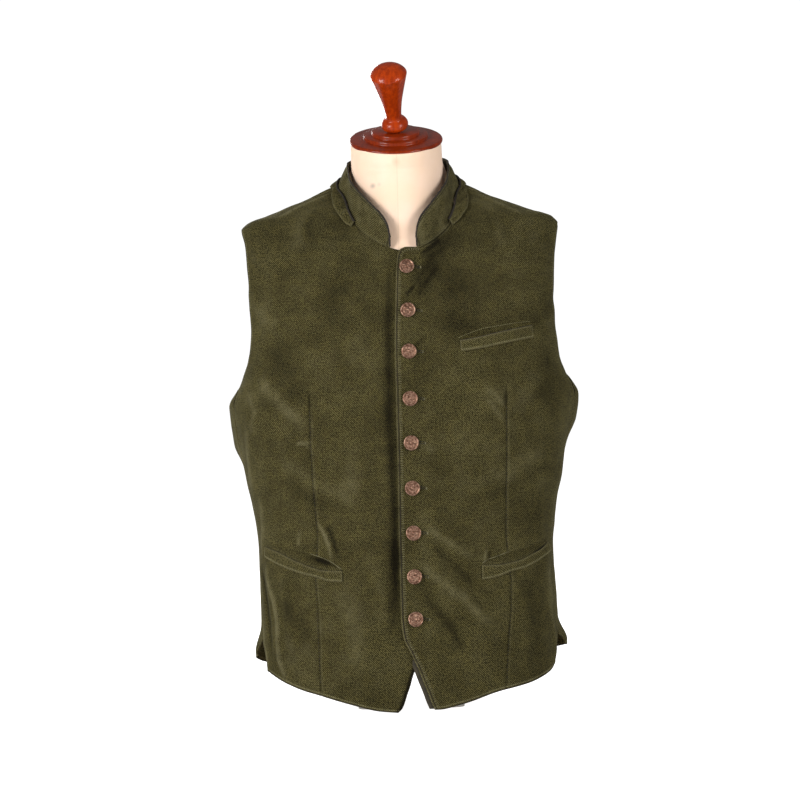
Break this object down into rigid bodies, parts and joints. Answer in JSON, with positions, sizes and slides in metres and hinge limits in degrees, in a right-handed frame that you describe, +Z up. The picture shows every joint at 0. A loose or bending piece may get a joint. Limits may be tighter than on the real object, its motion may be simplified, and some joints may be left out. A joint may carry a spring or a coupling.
{
  "type": "waistcoat on a dress form",
  "caption": "Velvet waistcoat with a stand collar and welt pockets, buttoned up the front on a limbless linen dress form with a turned wooden neck cap and handle.",
  "frame": {"origin": "on the floor, under the middle of the box that holds the part", "axes": "+Z up, -Y the way the chest faces, +X to the wearer's left"},
  "size_m": [0.4674, 0.2807, 0.8486],
  "materials": {
    "velvet": "dark olive green pile, rubbed lighter along seams and edges",
    "button_metal": "aged copper colour, lightly domed",
    "linen": "cream, smooth, stretched over the form",
    "mahogany": "red brown, high gloss",
    "board_wood": "plain, satin"
  },
  "bodies": {
    "root": {"front_left": "velvet", "front_right": "velvet", "back_left": "velvet", "back_right": "velvet", "collar_stand": "velvet", "collar_roll": "velvet", "welt_chest": "velvet", "welt_left": "velvet", "welt_right": "velvet", "button_1": "button_metal", "button_2": "button_metal", "button_3": "button_metal", "button_4": "button_metal", "button_5": "button_metal", "button_6": "button_metal", "button_7": "button_metal", "button_8": "button_metal", "button_9": "button_metal", "form_torso": "linen", "form_board": "board_wood", "form_foot_1": "board_wood", "form_foot_2": "board_wood", "form_foot_3": "board_wood", "form_foot_4": "board_wood", "form_cap": "mahogany", "form_handle": "mahogany"}
  },
  "joints": []
}
